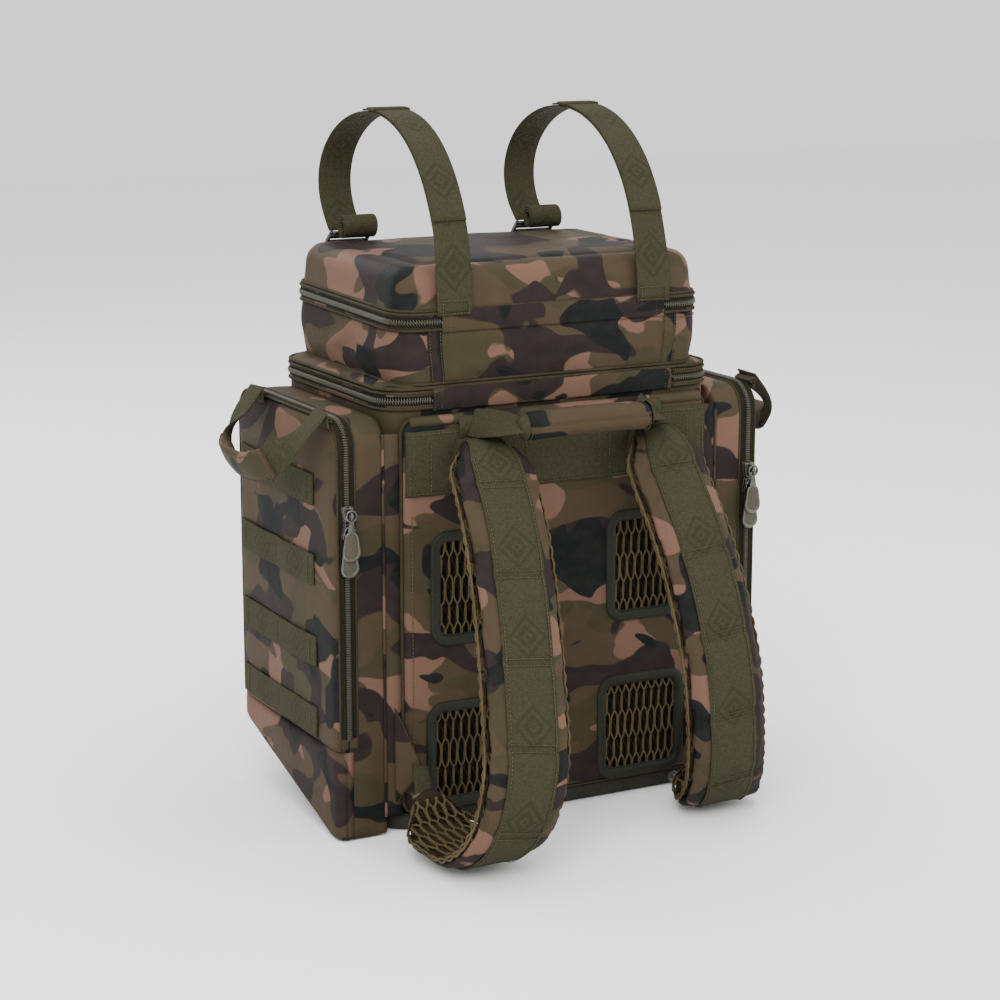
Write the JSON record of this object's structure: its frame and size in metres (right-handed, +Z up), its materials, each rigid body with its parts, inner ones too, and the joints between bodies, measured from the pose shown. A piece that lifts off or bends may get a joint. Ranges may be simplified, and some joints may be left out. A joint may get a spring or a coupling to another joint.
{
  "type": "tackle backpack",
  "caption": "Box-shaped camouflage tackle backpack with zipped lid and lid compartment, side and front pockets, padded shoulder straps, grab handles and lashing straps.",
  "frame": {"origin": "centre of the whole object's plan box, on the surface that the base rests on", "axes": "+Z up, harness side facing -Y, front pocket facing +Y, +X to the right when looking at the harness"},
  "size_m": [0.5972, 0.4874, 0.6783],
  "materials": {
    "camo_fabric": "matt coated polyester with a printed woodland pattern",
    "olive_webbing": "matt ribbed webbing",
    "zip_tape": "woven tape with a nylon coil",
    "base_fabric": "heavy coated fabric, slightly shiny",
    "spacer_mesh": "open knitted spacer mesh",
    "zip_metal": "light gunmetal plate",
    "rivet_metal": "dark grey painted",
    "buckle_plastic": "black moulded plastic"
  },
  "bodies": {
    "pack": {"body_shell": "camo_fabric", "base_cover": "base_fabric", "base_rivets": "rivet_metal", "back_panel": "camo_fabric", "window_meshes": "spacer_mesh", "window_bindings": "olive_webbing", "harness_band": "olive_webbing", "side_wings": "camo_fabric", "left_pocket_body": "camo_fabric", "right_pocket_body": "camo_fabric", "front_pocket_body": "camo_fabric", "pocket_zips": "zip_tape", "main_zip_lower": "zip_tape", "main_hinge_band": "camo_fabric"},
    "main_lid": {"lid_panel": "camo_fabric", "lid_tray": "camo_fabric", "main_zip_upper": "zip_tape", "top_zip_lower": "zip_tape", "top_hinge_band": "camo_fabric"},
    "top_cover": {"cover_shell": "camo_fabric", "top_zip_upper": "zip_tape", "top_straps": "olive_webbing", "top_buckles": "buckle_plastic", "buckle_tabs": "olive_webbing"},
    "left_flap": {"left_pocket_flap": "camo_fabric", "left_flap_zip": "zip_tape", "left_pocket_webbing": "olive_webbing"},
    "right_flap": {"right_pocket_flap": "camo_fabric", "right_flap_zip": "zip_tape", "right_pocket_webbing": "olive_webbing"},
    "front_flap": {"front_pocket_flap": "camo_fabric", "front_flap_zip": "zip_tape", "front_pocket_webbing": "olive_webbing"},
    "left_handle": {"left_handle_webbing": "olive_webbing", "left_handle_sleeve": "camo_fabric"},
    "right_handle": {"right_handle_webbing": "olive_webbing", "right_handle_sleeve": "camo_fabric"},
    "haul_handle": {"top_grip": "camo_fabric", "top_grip_webbing": "olive_webbing"},
    "left_strap": {"left_shoulder_pad": "camo_fabric", "left_shoulder_webbing": "olive_webbing"},
    "right_strap": {"right_shoulder_pad": "camo_fabric", "right_shoulder_webbing": "olive_webbing"},
    "main_slider_a": {"main_slider_a": "zip_metal"},
    "main_puller_a": {"main_puller_a": "zip_metal"},
    "main_slider_b": {"main_slider_b": "zip_metal"},
    "main_puller_b": {"main_puller_b": "zip_metal"},
    "top_slider": {"top_slider": "zip_metal"},
    "top_puller": {"top_puller": "zip_metal"},
    "left_slider_upper": {"left_slider_upper": "zip_metal"},
    "left_puller_upper": {"left_puller_upper": "zip_metal"},
    "left_slider_lower": {"left_slider_lower": "zip_metal"},
    "left_puller_lower": {"left_puller_lower": "zip_metal"},
    "right_slider_upper": {"right_slider_upper": "zip_metal"},
    "right_puller_upper": {"right_puller_upper": "zip_metal"},
    "right_slider_lower": {"right_slider_lower": "zip_metal"},
    "right_puller_lower": {"right_puller_lower": "zip_metal"},
    "front_slider": {"front_slider": "zip_metal"},
    "front_puller": {"front_puller": "zip_metal"}
  },
  "joints": [
    {"name": "main_lid_hinge", "type": "hinge", "parent": "pack", "child": "main_lid", "pos_m": [0, -0.05424, 0.42], "axis": [1, 0, 0], "range_deg": [0, 75]},
    {"name": "top_cover_hinge", "type": "hinge", "parent": "main_lid", "child": "top_cover", "pos_m": [0, -0.05324, 0.5], "axis": [1, 0, 0], "range_deg": [0, 60]},
    {"name": "left_flap_hinge", "type": "hinge", "parent": "pack", "child": "left_flap", "pos_m": [-0.2322, -0.05834, 0.0883], "axis": [0, -1, 0], "range_deg": [0, 85]},
    {"name": "right_flap_hinge", "type": "hinge", "parent": "pack", "child": "right_flap", "pos_m": [0.2322, -0.05834, 0.0883], "axis": [0, 1, 0], "range_deg": [0, 85]},
    {"name": "front_flap_hinge", "type": "hinge", "parent": "pack", "child": "front_flap", "pos_m": [0, 0.24186, 0.0883], "axis": [-1, 0, 0], "range_deg": [0, 85]},
    {"name": "left_handle_hinge", "type": "hinge", "parent": "left_flap", "child": "left_handle", "pos_m": [-0.235, -0.05834, 0.413], "axis": [0, 1, 0], "range_deg": [-25, 120]},
    {"name": "right_handle_hinge", "type": "hinge", "parent": "right_flap", "child": "right_handle", "pos_m": [0.235, -0.05834, 0.413], "axis": [0, -1, 0], "range_deg": [-25, 120]},
    {"name": "haul_handle_hinge", "type": "hinge", "parent": "pack", "child": "haul_handle", "pos_m": [0, -0.06534, 0.398], "axis": [1, 0, 0], "range_deg": [-70, 0]},
    {"name": "left_strap_swing", "type": "hinge", "parent": "pack", "child": "left_strap", "pos_m": [-0.16, -0.08834, 0.054], "axis": [0.1976, 0.0486, 0.9791], "range_deg": [-12, 12]},
    {"name": "right_strap_swing", "type": "hinge", "parent": "pack", "child": "right_strap", "pos_m": [0.16, -0.08834, 0.054], "axis": [-0.1988, 0.0489, 0.9788], "range_deg": [-12, 12]},
    {"name": "main_slider_a_travel", "type": "slide", "parent": "pack", "child": "main_slider_a", "axis": [-1, 0, 0], "range_m": [0, 0.12]},
    {"name": "main_slider_b_travel", "type": "slide", "parent": "pack", "child": "main_slider_b", "axis": [1, 0, 0], "range_m": [0, 0.12]},
    {"name": "top_slider_travel", "type": "slide", "parent": "main_lid", "child": "top_slider", "axis": [1, 0, 0], "range_m": [-0.12, 0.12]},
    {"name": "left_slider_upper_travel", "type": "slide", "parent": "pack", "child": "left_slider_upper", "axis": [0, 0, 1], "range_m": [0, 0.05]},
    {"name": "left_slider_lower_travel", "type": "slide", "parent": "pack", "child": "left_slider_lower", "axis": [0, 0, -1], "range_m": [0, 0.185]},
    {"name": "right_slider_upper_travel", "type": "slide", "parent": "pack", "child": "right_slider_upper", "axis": [0, 0, 1], "range_m": [0, 0.05]},
    {"name": "right_slider_lower_travel", "type": "slide", "parent": "pack", "child": "right_slider_lower", "axis": [0, 0, -1], "range_m": [0, 0.185]},
    {"name": "front_slider_travel", "type": "slide", "parent": "pack", "child": "front_slider", "axis": [0, 0, 1], "range_m": [0, 0.1]},
    {"name": "main_puller_a_swing", "type": "hinge", "parent": "main_slider_a", "child": "main_puller_a", "pos_m": [-0.009, 0.19326, 0.42], "axis": [0, 1, 0], "range_deg": [-50, 50]},
    {"name": "main_puller_b_swing", "type": "hinge", "parent": "main_slider_b", "child": "main_puller_b", "pos_m": [0.009, 0.19326, 0.42], "axis": [0, 1, 0], "range_deg": [-50, 50]},
    {"name": "top_puller_swing", "type": "hinge", "parent": "top_slider", "child": "top_puller", "pos_m": [0, 0.18926, 0.5], "axis": [0, 1, 0], "range_deg": [-60, 60]},
    {"name": "left_puller_upper_swing", "type": "hinge", "parent": "left_slider_upper", "child": "left_puller_upper", "pos_m": [-0.221, -0.05394, 0.32], "axis": [0, -1, 0], "range_deg": [-60, 60]},
    {"name": "left_puller_lower_swing", "type": "hinge", "parent": "left_slider_lower", "child": "left_puller_lower", "pos_m": [-0.221, -0.05394, 0.304], "axis": [0, -1, 0], "range_deg": [-60, 60]},
    {"name": "right_puller_upper_swing", "type": "hinge", "parent": "right_slider_upper", "child": "right_puller_upper", "pos_m": [0.221, -0.05394, 0.32], "axis": [0, -1, 0], "range_deg": [-60, 60]},
    {"name": "right_puller_lower_swing", "type": "hinge", "parent": "right_slider_lower", "child": "right_puller_lower", "pos_m": [0.221, -0.05394, 0.304], "axis": [0, -1, 0], "range_deg": [-60, 60]},
    {"name": "front_puller_swing", "type": "hinge", "parent": "front_slider", "child": "front_puller", "pos_m": [0.1266, 0.23066, 0.18], "axis": [1, 0, 0], "range_deg": [-60, 60]}
  ]
}
